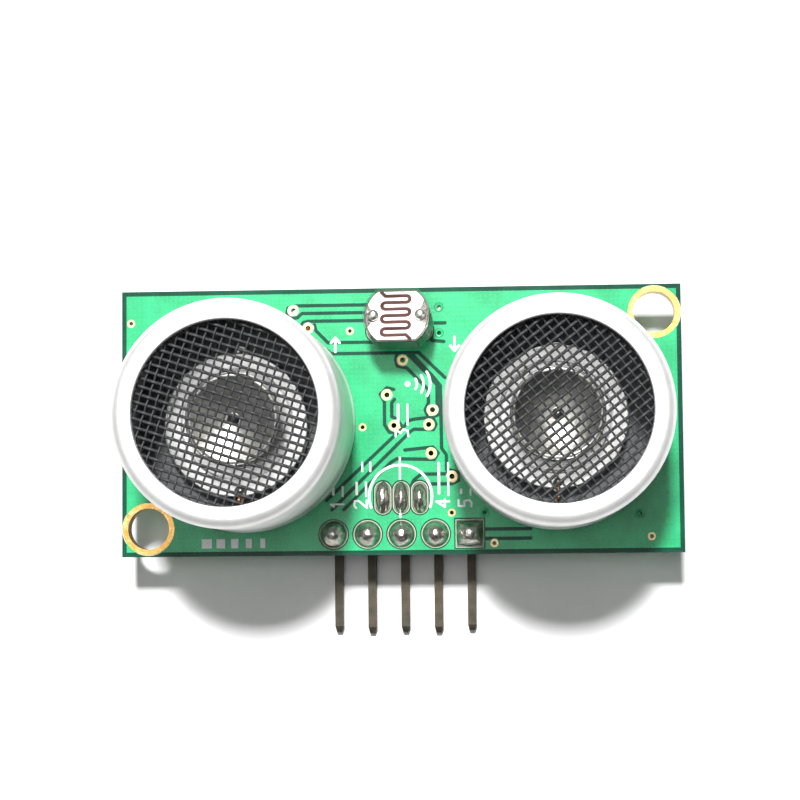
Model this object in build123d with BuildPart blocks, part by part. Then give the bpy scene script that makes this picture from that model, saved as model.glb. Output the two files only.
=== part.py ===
from build123d import *
import math
import os

# Ultrasonic distance sensor: a small circuit board with two open transducers, a light-dependent
# resistor, a rear temperature sensor and a five-pin header bent down along the board.
#
# Millimetres. The board lies in XY with its front face at z = 0 and +Z out of the transducers.
# The origin is the centre of the board, midway between the two mounting holes. +Y points to the
# edge with the light sensor, and the header pins leave along -Y.

os.makedirs("parts", exist_ok=True)

# ---- Driving dimensions: board ----
BOARD_X = 42.0
BOARD_Y = 20.0
BOARD_T = 1.6
COPPER_T = 0.035
MASK_T = 0.025
PLATING = 0.05
PAD_T = 0.045
LEGEND_T = 0.02
EDGE_CLEAR = 0.35
GAP = 0.26
MASK_OPENING = 0.06
PAD_CLEAR = 0.16
CORE_TOP = -(COPPER_T + MASK_T)
CORE_BOTTOM = -BOARD_T - CORE_TOP
PAD_TOP = CORE_TOP + PAD_T
REAR_COPPER_FACE = CORE_BOTTOM - COPPER_T
REAR_FACE = -BOARD_T

# ---- Driving dimensions: holes and pads ----
MOUNT_HOLE_R = 1.55
MOUNT_X = 19.0
MOUNT_Y = 7.9
MOUNT_HOLES = [(-MOUNT_X, -MOUNT_Y), (MOUNT_X, MOUNT_Y)]
PITCH = 2.54
PIN_COUNT = 5
HEADER_Y = -8.45
HEADER_X = [(index - (PIN_COUNT - 1) / 2) * PITCH for index in range(PIN_COUNT)]
TEMP_PITCH = 1.38
TEMP_Y = -5.75
TEMP_X = [-TEMP_PITCH, 0.0, TEMP_PITCH]
LIGHT_LEAD_X = 1.7
LIGHT_HOLE_Y = 6.75

# ---- Driving dimensions: transducers ----
CAN_X = 11.64
CAN_R = 8.1
CAN_TOP = 12.2
CAN_MOUTH_R = 6.55
CAN_INNER_R = 7.5
CAN_LIP_T = 0.55
CAN_ROUND = 0.8
CAN_BEAD_R = 8.25
CAN_BEAD_H = 0.45
SCREEN_T = 0.35
BASE_TOP = 2.0
TERMINAL_R = 0.5
TERMINAL_Y = 5.0
TERMINAL_TOP = 2.5
TERMINAL_END = -3.0
DAMPER_IN_R = 3.9
DAMPER_OUT_R = 4.7
PIEZO_R = 3.6
PIEZO_BOTTOM = 2.95
DISC_BOTTOM = 3.25
DISC_TOP = 3.55
DISC_R = 5.3
CONE_RIM_Z = 6.9
CONE_RIM_R = 3.45
CONE_RIM_W = 0.2
CONE_RIM_H = 0.18
CONE_FOOT_R = 0.9
CONE_STEM_R = 1.3
CONE_STEM_TOP = 5.95
CONE_WELL_R = 0.55
CONE_WELL_Z = 6.25
RIVET_R = 0.4
RIVET_TOP = 6.45
WIRE_R = 0.12
WIRE_LOOP_Y = -6.25
WIRE_LOOP_RISE = 0.75
WIRE_JOINT_Y = 4.85
WIRE_JOINT_R = 0.4

# Each hole kind: pad width, pad height, hole radius and pad form.
PAD_KINDS = {
    "header": (2.0, 2.0, 0.5, "round"),
    "header_first": (2.0, 2.0, 0.5, "square"),
    "temperature": (1.15, 2.35, 0.4, "oval"),
    "terminal": (2.2, 2.2, 0.6, "round"),
    "light": (1.5, 1.5, 0.4, "round"),
    "mounting": (3.9, 3.9, MOUNT_HOLE_R, "round"),
    "via": (0.6, 0.6, 0.15, "round"),
    "large_via": (0.8, 0.8, 0.2, "round"),
}

COMPONENT_PADS = (
    [("header", x, HEADER_Y) for x in HEADER_X[:-1]]
    + [("header_first", HEADER_X[-1], HEADER_Y)]
    + [("temperature", x, TEMP_Y) for x in TEMP_X]
    + [("terminal", x, y) for x in (-CAN_X, CAN_X) for y in (-TERMINAL_Y, TERMINAL_Y)]
    + [("light", x, LIGHT_HOLE_Y) for x in (-LIGHT_LEAD_X, LIGHT_LEAD_X)]
)
MOUNTING_PADS = [("mounting", x, y) for x, y in MOUNT_HOLES]
VIAS = [
    ("via", -20.3, 7.6),
    ("large_via", -8.0, 8.4),
    ("large_via", -6.9, 7.05),
    ("via", -3.75, 6.8),
    ("large_via", 0.2, 4.55),
    ("large_via", -1.0, 1.95),
    ("large_via", -0.5, -0.35),
    ("large_via", 2.4, 0.8),
    ("large_via", 2.1, -0.3),
    ("large_via", 2.25, -2.45),
    ("via", -2.85, -0.45),
    ("large_via", 3.8, -4.2),
    ("via", 3.75, -6.9),
    ("via", 6.9, -9.2),
    ("via", 6.2, -6.9),
    ("via", 18.55, -8.8),
    ("via", 17.7, -7.1),
    ("via", 2.95, 8.5),
    ("via", 2.95, 6.55),
]

ALL_PADS = COMPONENT_PADS + MOUNTING_PADS + VIAS

# Gaps that part the front copper into nets, as the lines they follow.
FRONT_GAPS = [
    [(-1.0, 8.75), (-7.8, 8.75), (-8.4, 8.6), (-8.5, 8.15), (-8.1, 7.82), (-7.7, 7.85)],
    [(-7.7, 7.85), (-7.35, 8.17), (-1.0, 8.17)],
    [(-7.45, 7.2), (-7.25, 7.5), (-6.9, 7.57), (-1.0, 7.57)],
    [(-6.42, 7.3), (-6.3, 6.85), (-5.4, 5.93), (-1.0, 5.93)],
    [(-5.5, 5.4), (-5.2, 5.1), (1.4, 5.1), (3.35, 3.2)],
    [(-0.2, 5.1), (-0.33, 4.6), (-0.2, 4.1), (0.5, 3.95), (2.1, 2.3), (2.1, 1.3), (1.85, 0.8), (2.0, 0.4)],
    [(0.6, 5.0), (2.3, 3.2), (2.75, 2.65), (2.75, 1.3), (2.95, 0.8), (2.8, 0.4), (2.4, 0.25)],
    [(0.8, 5.1), (2.45, 3.3), (3.0, 2.6), (3.05, -2.1), (3.4, -2.6), (3.4, -3.7)],
    [(-0.45, 1.6), (-0.65, 1.35), (-0.65, 0.3), (-0.3, 0.15), (0.05, -0.35)],
    [(-0.5, 2.35), (-1.0, 2.48), (-1.5, 2.0), (-1.2, 1.45), (-1.2, -0.3), (-0.85, -0.85)],
    [(-0.85, -0.85), (-0.3, -0.9), (0.1, -0.6)],
    [(2.4, 0.25), (1.0, 0.1), (0.6, 0.0), (0.3, -0.4), (-5.6, -5.9)],
    [(2.4, 0.25), (2.65, -0.3), (2.45, -0.7), (1.0, -0.65), (0.75, -0.8), (-5.2, -6.6)],
    [(0.3, -2.2), (2.4, -2.0), (2.78, -2.45), (2.5, -2.92), (-0.3, -2.85), (-0.75, -3.1), (-4.3, -6.6)],
    [(0.75, -4.9), (0.95, -4.45), (1.5, -4.02), (3.4, -4.0), (3.6, -3.7), (4.25, -3.9)],
    [(4.25, -3.9), (4.3, -4.5), (3.8, -4.75), (2.2, -4.75)],
    [(6.2, -8.15), (9.6, -8.15)],
    [(6.2, -8.85), (9.6, -8.85)],
    [(3.3, 5.9), (2.4, 6.0), (2.4, 7.3), (3.4, 7.3)],
]

# ---- Driving dimensions: rear parts ----
CHIP_PITCH = 1.27
CHIP_W = 3.9
CHIP_T = 1.5
CHIP_SPAN = 6.0
CHIP_LIFT = 0.13
LEAD_T = 0.2
LEAD_W = 0.42
CHIP_MID = REAR_COPPER_FACE - CHIP_LIFT - CHIP_T / 2
FOOT_L = 0.55
SMALL_L = 1.6
SMALL_W = 0.8
RESISTOR_T = 0.45
CAPACITOR_T = 0.8
END_CAP_L = 0.3
END_CAP_T = 0.02

# Each chip: centre and leads per side.
CONTROLLER = (-11.64, 0.0, 7)
DRIVER = (17.8, -0.6, 4)
AMPLIFIER = (11.64, 0.0, 4)
CRYSTAL = (-18.2, 0.6)
TRANSISTORS = [(-3.6, 4.3), (3.6, 4.3)]
RESISTORS = [
    (-18.4, 5.2, 0),
    (-15.6, 6.6, 90),
    (-7.4, 5.4, 0),
    (-7.4, 7.2, 0),
    (-6.0, -4.6, 90),
    (-15.8, -5.8, 90),
    (7.3, 5.2, 90),
    (7.3, -5.2, 90),
    (16.0, 6.2, 90),
    (15.9, -6.4, 0),
    (18.6, -5.0, 0),
]
CAPACITORS = [
    (-18.4, 7.2, 0),
    (-13.9, 7.9, 0),
    (-8.6, -6.4, 0),
    (-5.4, 1.2, 90),
    (5.6, 1.0, 90),
    (5.4, -3.4, 90),
    (13.2, 7.9, 0),
    (9.0, 7.4, 90),
    (14.4, -8.6, 0),
]

# ---- Driving dimensions: header, temperature sensor, light sensor ----
PIN_W = 0.64
STRIP_T = 2.5
STRIP_MARGIN = 0.03
STRIP_NOTCH = 0.7
BEND_R = 0.85
PIN_FRONT_END = 0.75
PIN_TIPS = [-15.85, -15.95, -15.9, -15.95, -15.8]
PIN_TAPER_L = 0.45
PIN_TAPER_D = 0.13
TEMP_BODY_R = 2.35
TEMP_FLAT = 1.3
TEMP_BODY_START = -3.7
TEMP_BODY_L = 4.6
TEMP_LIFT = 0.1
TEMP_LEAD_W = 0.46
TEMP_BEND_R = 0.6
TEMP_FRONT_END = 0.35
TEMP_MID = REAR_FACE - TEMP_LIFT - TEMP_FLAT
LIGHT_Y = 7.46
LIGHT_FACE_Z = 4.0
LIGHT_TILT = 12.0
LIGHT_LEAN = 5.0
LIGHT_R = 2.42
LIGHT_FLAT = 1.95
LIGHT_T = 1.9
LIGHT_FILM = 0.06
LIGHT_COAT = 0.12
LIGHT_WIRE_R = 0.25
TRACK_W = 0.28
TRACK_RUN_X = (-0.85, 0.72)
TRACK_ROWS = 7
TRACK_PITCH = 0.5


def midpoint_and_angle(start, end):
    """Middle of a straight run, its length, and its direction in degrees."""
    across, up = end[0] - start[0], end[1] - start[1]
    middle = ((start[0] + end[0]) / 2, (start[1] + end[1]) / 2)
    return middle, math.hypot(across, up), math.degrees(math.atan2(up, across))


def strokes(lines, width, mode=Mode.ADD):
    """Round-ended lines of one width, each through its points, in the sketch being built."""
    runs = []
    for points in lines:
        for start, end in zip(points, points[1:]):
            middle, length, angle = midpoint_and_angle(start, end)
            with Locations(middle):
                runs.append(SlotCenterToCenter(length, width, rotation=angle, mode=Mode.PRIVATE))
    add(runs, mode=mode)


def pad_outline(pad, grow):
    """The outline of one pad, grown all round, not yet part of any sketch."""
    kind, x, y = pad
    width, height, _, form = PAD_KINDS[kind]
    with Locations((x, y)):
        if form == "square":
            return Rectangle(width + 2 * grow, height + 2 * grow, mode=Mode.PRIVATE)
        if form == "oval":
            return SlotOverall(height + 2 * grow, width + 2 * grow, rotation=90, mode=Mode.PRIVATE)
        return Circle(width / 2 + grow, mode=Mode.PRIVATE)


def pad_shapes(pads, grow, mode=Mode.ADD):
    """The outlines of some pads, grown all round, in the sketch being built."""
    add([pad_outline(pad, grow) for pad in pads], mode=mode)


def hole_shapes(pads, grow, mode=Mode.ADD):
    """The drilled holes of some pads, grown all round, in the sketch being built."""
    holes = []
    for kind, x, y in pads:
        with Locations((x, y)):
            holes.append(Circle(PAD_KINDS[kind][2] + grow, mode=Mode.PRIVATE))
    add(holes, mode=mode)


def land_shapes(grow, mode=Mode.ADD):
    """The rear lands for surface-mounted parts, grown all round, in the sketch being built."""
    lands = []
    for x, y, width, height in REAR_LANDS:
        with Locations((x, y)):
            lands.append(Rectangle(width + 2 * grow, height + 2 * grow, mode=Mode.PRIVATE))
    add(lands, mode=mode)


def finish(piece, name):
    """Label one sub-part and write its STEP file."""
    piece.part.label = name
    export_step(piece.part, f"parts/{name}.step")


def chip_lead_x(chip):
    """The x of each lead along one side of a chip."""
    return [chip[0] + (index - (chip[2] - 1) / 2) * CHIP_PITCH for index in range(chip[2])]


# ---- Rear lands for the surface-mounted parts: x, y, width, height ----
CHIP_LAND_Y = CHIP_SPAN / 2 - FOOT_L / 2
TRANSISTOR_LEADS = [(-0.95, 1), (0.95, 1), (0.0, -1)]
TRANSISTOR_LAND_Y = 1.0
SMALL_LAND_X = SMALL_L / 2 - END_CAP_L / 2
CRYSTAL_X = 3.2
CRYSTAL_Y = 5.0
CRYSTAL_T = 1.1

REAR_LANDS = []
for chip in (CONTROLLER, DRIVER, AMPLIFIER):
    for lead_x in chip_lead_x(chip):
        for side in (-1, 1):
            REAR_LANDS.append((lead_x, chip[1] + side * CHIP_LAND_Y, 0.6, 1.1))
for transistor in TRANSISTORS:
    for lead_x, side in TRANSISTOR_LEADS:
        REAR_LANDS.append((transistor[0] + lead_x, transistor[1] + side * TRANSISTOR_LAND_Y, 0.6, 0.8))
for small_x, small_y, turn in RESISTORS + CAPACITORS:
    for side in (-1, 1):
        step = side * SMALL_LAND_X
        if turn:
            REAR_LANDS.append((small_x, small_y + step, 0.9, 0.7))
        else:
            REAR_LANDS.append((small_x + step, small_y, 0.7, 0.9))
for side in (-1, 1):
    REAR_LANDS.append((CRYSTAL[0], CRYSTAL[1] + side * (CRYSTAL_Y / 2 - 0.4), 2.0, 1.2))

# Gaps that part the rear copper into nets, as the lines they follow.
REAR_GAPS = [
    [(-20.2, 8.6), (-9.6, 8.9), (-5.6, 6.2), (-5.6, 3.4), (-4.9, 2.6)],
    [(-20.3, 3.7), (-16.4, 3.9), (-10.0, 3.9), (-6.2, 3.4)],
    [(-20.2, -2.6), (-16.6, -3.4), (-12.9, -3.8), (-6.6, -3.8), (-4.4, -2.2), (-4.4, 0.6)],
    [(-16.9, -9.3), (-12.0, -7.4), (-6.8, -8.2)],
    [(6.5, -8.6), (9.2, -7.4), (13.0, -7.2), (19.9, -7.2)],
    [(4.2, 2.0), (6.4, 3.4), (9.4, 3.9), (14.9, 4.2), (20.2, 4.2)],
    [(4.2, -1.0), (6.6, -2.6), (9.2, -3.8), (14.4, -4.0)],
    [(5.2, 9.0), (8.0, 9.2), (12.0, 9.2), (16.2, 8.0), (17.0, 5.4)],
    [(-3.0, 1.4), (3.0, 1.4), (3.0, 2.6)],
    [(-4.6, 8.8), (4.4, 8.8)],
]


def copper_outline(side):
    """The copper pour of one face, parted by its gaps and clear of its pads and lands."""
    Rectangle(BOARD_X - 2 * EDGE_CLEAR, BOARD_Y - 2 * EDGE_CLEAR)
    strokes(FRONT_GAPS if side == "front" else REAR_GAPS, GAP, mode=Mode.SUBTRACT)
    pad_shapes(COMPONENT_PADS, PAD_CLEAR, mode=Mode.SUBTRACT)
    if side == "rear":
        land_shapes(PAD_CLEAR, mode=Mode.SUBTRACT)


def mask_windows(side):
    """Windows over the pads and lands of one face, cut from the sketch being built."""
    pad_shapes(ALL_PADS, MASK_OPENING, mode=Mode.SUBTRACT)
    if side == "rear":
        land_shapes(MASK_OPENING, mode=Mode.SUBTRACT)


# ==== Board ====
with BuildPart() as board_laminate:
    with BuildSketch(Plane.XY.offset(CORE_TOP)):
        Rectangle(BOARD_X, BOARD_Y)
        hole_shapes(ALL_PADS, PLATING, mode=Mode.SUBTRACT)
    extrude(amount=CORE_BOTTOM - CORE_TOP)
finish(board_laminate, "board_laminate")

for side in ("front", "rear"):
    core_face = CORE_TOP if side == "front" else CORE_BOTTOM
    outward = 1 if side == "front" else -1
    with BuildSketch() as net_outline:
        copper_outline(side)

    with BuildPart() as copper:
        with BuildSketch(Plane.XY.offset(core_face)):
            add(net_outline.sketch)
            pad_shapes(MOUNTING_PADS + VIAS, 0, mode=Mode.SUBTRACT)
            if side == "rear":
                land_shapes(0)
        extrude(amount=outward * COPPER_T)
    finish(copper, f"{side}_copper")

    with BuildPart() as solder_mask:
        with BuildSketch(Plane.XY.offset(core_face)):
            Rectangle(BOARD_X, BOARD_Y)
            mask_windows(side)
        extrude(amount=outward * (COPPER_T + MASK_T))
        with BuildSketch(Plane.XY.offset(core_face)):
            add(net_outline.sketch)
        extrude(amount=outward * COPPER_T, mode=Mode.SUBTRACT)
    finish(solder_mask, f"{side}_solder_mask")

for name, pads in (
    ("component_pads", COMPONENT_PADS),
    ("mounting_hole_plating", MOUNTING_PADS),
    ("via_barrels", VIAS),
):
    with BuildPart() as plating:
        for core_face, height in ((CORE_TOP, PAD_T), (CORE_BOTTOM, -PAD_T)):
            with BuildSketch(Plane.XY.offset(core_face)):
                pad_shapes(pads, 0)
                hole_shapes(pads, 0, mode=Mode.SUBTRACT)
            extrude(amount=height)
        with BuildSketch(Plane.XY.offset(CORE_BOTTOM)):
            hole_shapes(pads, PLATING)
            hole_shapes(pads, 0, mode=Mode.SUBTRACT)
        extrude(amount=CORE_TOP - CORE_BOTTOM)
    finish(plating, name)

# ==== Printed legend: pin numbers, plain icons and part outlines ====
DIGIT_W = 0.55
DIGIT_H = 0.95
PRINT_W = 0.15
BROAD_PRINT_W = 0.19
REAR_PRINT_W = 0.12
WAVE_X = 0.55
WAVE_Y = 2.75
DIGITS = {
    1: [[(0.2, 0.75), (0.5, 1.0), (0.5, 0.0)]],
    2: [[(0.0, 0.85), (0.3, 1.0), (0.9, 0.95), (0.95, 0.65), (0.0, 0.0), (1.0, 0.0)]],
    3: [[(0.0, 1.0), (0.9, 1.0), (0.45, 0.6), (0.95, 0.4), (0.8, 0.05), (0.0, 0.0)]],
    4: [[(0.75, 0.0), (0.75, 1.0), (0.0, 0.35), (1.0, 0.35)]],
    5: [[(0.9, 1.0), (0.1, 1.0), (0.1, 0.55), (0.8, 0.55), (0.9, 0.15), (0.6, 0.0), (0.0, 0.0)]],
}
NUMBER_PLACES = [(-4.8, -6.2), (-3.05, -6.2), (0.1, -0.9), (3.1, -6.2), (4.75, -6.2)]
BAR_TOP = {1: -4.9, 2: -4.6, 3: 1.2, 4: -3.2, 5: -5.2}


def turned_digit(number, x, y):
    """The lines of one digit that reads from the header side upwards."""
    return [
        [(x - (v - 0.5) * DIGIT_H, y + (u - 0.5) * DIGIT_W) for u, v in line] for line in DIGITS[number]
    ]


def arc_points(x, y, radius, first, last, step):
    """Points round part of a circle, from one angle to another in degrees."""
    turns = [math.radians(turn) for turn in range(first, last + 1, step)]
    return [(x + radius * math.cos(turn), y + radius * math.sin(turn)) for turn in turns]


def print_arrow(x, y, direction):
    """A plain arrow along Y: away from the header for sending, towards it for receiving."""
    tip = y + direction * 0.55
    barbs = tip - direction * 0.38
    return [[(x, y - 0.5), (x, y + 0.5)], [(x - 0.32, barbs), (x, tip), (x + 0.32, barbs)]]


FINE_PRINT = [
    [(-0.08, -2.75), (-0.08, -4.35)],
    [(-0.08, -6.95), (-0.08, -7.2)],
    [(-2.9, -3.1), (-2.9, -3.75)],
    [(-2.3, -3.1), (-2.3, -3.75)],
]
BROAD_PRINT = [arc_points(-0.05, -5.65, 2.35, -20, 200, 10)]
for number, (number_x, number_y) in enumerate(NUMBER_PLACES, 1):
    FINE_PRINT += turned_digit(number, number_x, number_y)
    FINE_PRINT.append([(number_x + 0.42, number_y + 0.6), (number_x + 0.42, BAR_TOP[number])])
    BROAD_PRINT.append([(number_x - 0.28, number_y + 0.75), (number_x - 0.28, BAR_TOP[number])])
for radius in (0.7, 1.2, 1.7):
    BROAD_PRINT.append(arc_points(WAVE_X, WAVE_Y, radius, -32, 32, 8))
for direction, arrow_x in ((1, -4.85), (-1, 4.1)):
    BROAD_PRINT += print_arrow(arrow_x, 5.75, direction)

with BuildPart() as front_legend:
    with BuildSketch():
        strokes(FINE_PRINT, PRINT_W)
        strokes(BROAD_PRINT, BROAD_PRINT_W)
        with Locations((WAVE_X, WAVE_Y)):
            Circle(0.22)
        for index in range(5):
            with Locations((-14.6 + 1.05 * index, -9.05)):
                Rectangle(0.75 - 0.1 * index, 0.7)
    extrude(amount=LEGEND_T)
finish(front_legend, "front_legend")

REAR_PRINT = []
for x, y, per_side in (CONTROLLER, DRIVER, AMPLIFIER):
    half_x = per_side * CHIP_PITCH / 2 + 0.2
    for edge_x in (x - half_x, x + half_x):
        REAR_PRINT.append([(edge_x, y - 1.95), (edge_x, y + 1.95)])
for x, y, turn in RESISTORS + CAPACITORS:
    for end in (-0.7, 0.7):
        if turn:
            REAR_PRINT.append([(x + end, y - 0.9), (x + end, y + 0.9)])
        else:
            REAR_PRINT.append([(x - 0.9, y + end), (x + 0.9, y + end)])

with BuildPart() as rear_legend:
    with BuildSketch(Plane.XY.offset(REAR_FACE)):
        strokes(REAR_PRINT, REAR_PRINT_W)
    extrude(amount=-LEGEND_T)
finish(rear_legend, "rear_legend")


# ==== Transducers ====
def transducer_can(x):
    """Drawn aluminium can with a turned-in front lip, a rounded shoulder and a foot bead."""
    inner_top = CAN_TOP - CAN_LIP_T
    with BuildSketch(Plane.XZ) as profile:
        with BuildLine():
            Polyline(
                (x + CAN_R, CAN_TOP - CAN_ROUND),
                (x + CAN_R, CAN_BEAD_H),
                (x + CAN_BEAD_R, CAN_BEAD_H - 0.1),
                (x + CAN_BEAD_R, 0),
                (x + CAN_INNER_R, 0),
                (x + CAN_INNER_R, inner_top),
                (x + CAN_MOUTH_R, inner_top),
                (x + CAN_MOUTH_R, CAN_TOP - 0.12),
                (x + CAN_MOUTH_R + 0.12, CAN_TOP),
                (x + CAN_R - CAN_ROUND, CAN_TOP),
            )
            RadiusArc((x + CAN_R - CAN_ROUND, CAN_TOP), (x + CAN_R, CAN_TOP - CAN_ROUND), CAN_ROUND)
        make_face()
    revolve(profile.sketch, axis=Axis((x, 0, 0), (0, 0, 1)))


def transducer_cone(x, y):
    """Shallow metal horn dish on a flaring stem, with a rivet head at its centre."""
    with BuildSketch(Plane.XZ.offset(-y)) as profile:
        with BuildLine():
            Polyline(
                (x, DISC_TOP),
                (x + CONE_FOOT_R, DISC_TOP),
                (x + CONE_STEM_R, CONE_STEM_TOP),
                (x + CONE_RIM_R, CONE_RIM_Z - CONE_RIM_H),
                (x + CONE_RIM_R, CONE_RIM_Z),
                (x + CONE_RIM_R - CONE_RIM_W, CONE_RIM_Z),
                (x + CONE_WELL_R, CONE_WELL_Z),
                (x + RIVET_R, RIVET_TOP - 0.05),
                (x, RIVET_TOP),
                close=True,
            )
        make_face()
    revolve(profile.sketch, axis=Axis((x, y, 0), (0, 0, 1)))


# Name, can centre, then how far the diaphragm and the cone sit off the can's axis.
TRANSDUCERS = [
    ("transmitter", -CAN_X, (-0.3, -0.35), (-0.12, -0.12)),
    ("receiver", CAN_X, (-0.1, 0.0), (0.0, 0.0)),
]

for name, can_x, disc_shift, cone_shift in TRANSDUCERS:
    disc_x = can_x + disc_shift[0]
    disc_y = disc_shift[1]

    with BuildPart() as can:
        transducer_can(can_x)
    finish(can, f"{name}_can")

    with BuildPart() as screen:
        with BuildSketch(Plane.XY.offset(CAN_TOP - CAN_LIP_T)):
            with Locations((can_x, 0)):
                Circle(CAN_INNER_R)
        extrude(amount=-SCREEN_T)
    finish(screen, f"{name}_screen")

    with BuildPart() as base:
        with BuildSketch():
            with Locations((can_x, 0)):
                Circle(CAN_INNER_R)
            with Locations((can_x, -TERMINAL_Y), (can_x, TERMINAL_Y)):
                Circle(TERMINAL_R, mode=Mode.SUBTRACT)
        extrude(amount=BASE_TOP)
    finish(base, f"{name}_base")

    with BuildPart() as terminals:
        with BuildSketch(Plane.XY.offset(TERMINAL_END)):
            with Locations((can_x, -TERMINAL_Y), (can_x, TERMINAL_Y)):
                Circle(TERMINAL_R)
        extrude(amount=TERMINAL_TOP - TERMINAL_END)
    finish(terminals, f"{name}_terminals")

    with BuildPart() as damper:
        with BuildSketch(Plane.XY.offset(BASE_TOP)):
            with Locations((disc_x, disc_y)):
                Circle(DAMPER_OUT_R)
                Circle(DAMPER_IN_R, mode=Mode.SUBTRACT)
            for end in (-1, 1):
                with Locations((can_x, end * TERMINAL_Y)):
                    Rectangle(1.6, 5.0, mode=Mode.SUBTRACT)
        extrude(amount=DISC_BOTTOM - BASE_TOP)
    finish(damper, f"{name}_damper")

    with BuildPart() as piezo:
        with BuildSketch(Plane.XY.offset(PIEZO_BOTTOM)):
            with Locations((disc_x, disc_y)):
                Circle(PIEZO_R)
        extrude(amount=DISC_BOTTOM - PIEZO_BOTTOM)
    finish(piezo, f"{name}_piezo")

    with BuildPart() as diaphragm:
        with BuildSketch(Plane.XY.offset(DISC_BOTTOM)):
            with Locations((disc_x, disc_y)):
                Circle(DISC_R)
        extrude(amount=DISC_TOP - DISC_BOTTOM)
        chamfer(diaphragm.edges(), 0.06)
    finish(diaphragm, f"{name}_diaphragm")

    with BuildPart() as cone:
        transducer_cone(can_x + cone_shift[0], cone_shift[1])
    finish(cone, f"{name}_cone")

    wire_low = TERMINAL_TOP + WIRE_R
    joint_y = disc_y - WIRE_JOINT_Y
    with BuildPart() as lead_wires:
        with BuildLine():
            FilletPolyline(
                (can_x, -TERMINAL_Y + 0.3, wire_low),
                (can_x, WIRE_LOOP_Y, wire_low),
                (can_x, WIRE_LOOP_Y, DISC_TOP + WIRE_LOOP_RISE),
                (can_x, joint_y, DISC_TOP + WIRE_R + 0.05),
                radius=0.3,
            )
        with BuildSketch(Plane.XZ.offset(TERMINAL_Y - 0.3)):
            with Locations((can_x, wire_low)):
                Circle(WIRE_R)
        sweep()
        with BuildLine():
            Line((can_x, TERMINAL_Y + 0.3, wire_low), (can_x, 3.0, PIEZO_BOTTOM - WIRE_R - 0.01))
        with BuildSketch(Plane.XZ.offset(-TERMINAL_Y - 0.3)):
            with Locations((can_x, wire_low)):
                Circle(WIRE_R)
        sweep()
    finish(lead_wires, f"{name}_lead_wires")

    with BuildPart() as wire_solder:
        with Locations((can_x, joint_y, DISC_TOP)):
            Sphere(WIRE_JOINT_R, arc_size1=0, align=(Align.CENTER, Align.CENTER, Align.MIN))
        add(lead_wires.part, mode=Mode.SUBTRACT)
    finish(wire_solder, f"{name}_wire_solder")

# ==== Five-pin header ====
STRIP_L = PIN_COUNT * PITCH
with BuildPart() as header_strip:
    with BuildSketch(Plane.XY.offset(REAR_FACE)):
        with Locations((0, HEADER_Y)):
            Rectangle(STRIP_L, STRIP_T)
        for x in HEADER_X:
            for notch_x in (x - PITCH / 2, x + PITCH / 2):
                with Locations((notch_x, HEADER_Y - STRIP_T / 2), (notch_x, HEADER_Y + STRIP_T / 2)):
                    Rectangle(STRIP_NOTCH, STRIP_NOTCH, rotation=45, mode=Mode.SUBTRACT)
            with Locations((x, HEADER_Y)):
                Rectangle(PIN_W, PIN_W, mode=Mode.SUBTRACT)
    extrude(amount=-STRIP_T)
finish(header_strip, "header_strip")

PIN_HALF = PIN_W / 2
PIN_OUTER_R = BEND_R + PIN_HALF
PIN_INNER_R = BEND_R - PIN_HALF
PIN_BACK_Y = HEADER_Y + PIN_HALF
PIN_NEAR_Y = HEADER_Y - PIN_HALF
BEND_Z = REAR_FACE - STRIP_T - STRIP_MARGIN
BEND_Y = PIN_BACK_Y - PIN_OUTER_R
PIN_LOW_Z = BEND_Z - PIN_OUTER_R
PIN_HIGH_Z = BEND_Z - PIN_INNER_R
for index, pin_x in enumerate(HEADER_X):
    tip_y = PIN_TIPS[index]
    with BuildPart() as header_pin:
        with BuildSketch(Plane.YZ.offset(pin_x)):
            with BuildLine():
                Line((PIN_BACK_Y, PIN_FRONT_END), (PIN_BACK_Y, BEND_Z))
                RadiusArc((PIN_BACK_Y, BEND_Z), (BEND_Y, PIN_LOW_Z), PIN_OUTER_R)
                Line((BEND_Y, PIN_LOW_Z), (tip_y, PIN_LOW_Z))
                Line((tip_y, PIN_LOW_Z), (tip_y, PIN_HIGH_Z))
                Line((tip_y, PIN_HIGH_Z), (BEND_Y, PIN_HIGH_Z))
                RadiusArc((BEND_Y, PIN_HIGH_Z), (PIN_NEAR_Y, BEND_Z), -PIN_INNER_R)
                Line((PIN_NEAR_Y, BEND_Z), (PIN_NEAR_Y, PIN_FRONT_END))
                Line((PIN_NEAR_Y, PIN_FRONT_END), (PIN_BACK_Y, PIN_FRONT_END))
            make_face()
        extrude(amount=PIN_HALF, both=True)
        tip_face = header_pin.faces().sort_by(Axis.Y)[0]
        chamfer(tip_face.edges(), PIN_TAPER_D, PIN_TAPER_L, reference=tip_face)
    finish(header_pin, f"header_pin_{index + 1}")


# ==== Solder ====
def solder_cone(x, y, z, radius, height, outward):
    """A hollow-sided cone of solder with a rounded tip, standing on a pad."""
    with BuildSketch(Plane.XZ.offset(-y)) as profile:
        with BuildLine():
            Line((x, z), (x + radius, z))
            Line((x + radius, z), (x + radius * 0.98, z + outward * height * 0.06))
            Spline(
                (x + radius * 0.98, z + outward * height * 0.06),
                (x + radius * 0.6, z + outward * height * 0.45),
                (x, z + outward * height),
                tangents=((-0.8, outward * 0.55), (-1, 0)),
            )
            Line((x, z + outward * height), (x, z))
        make_face()
    revolve(profile.sketch, axis=Axis((x, y, 0), (0, 0, 1)))


with BuildPart() as header_solder:
    for x in HEADER_X:
        solder_cone(x, HEADER_Y, PAD_TOP, 0.97, 1.2, 1)
    with BuildSketch(Plane.XY.offset(PAD_TOP)):
        with Locations(*[(x, HEADER_Y) for x in HEADER_X]):
            Rectangle(PIN_W, PIN_W)
    extrude(amount=PIN_FRONT_END - PAD_TOP, mode=Mode.SUBTRACT)
finish(header_solder, "header_solder")

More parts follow.
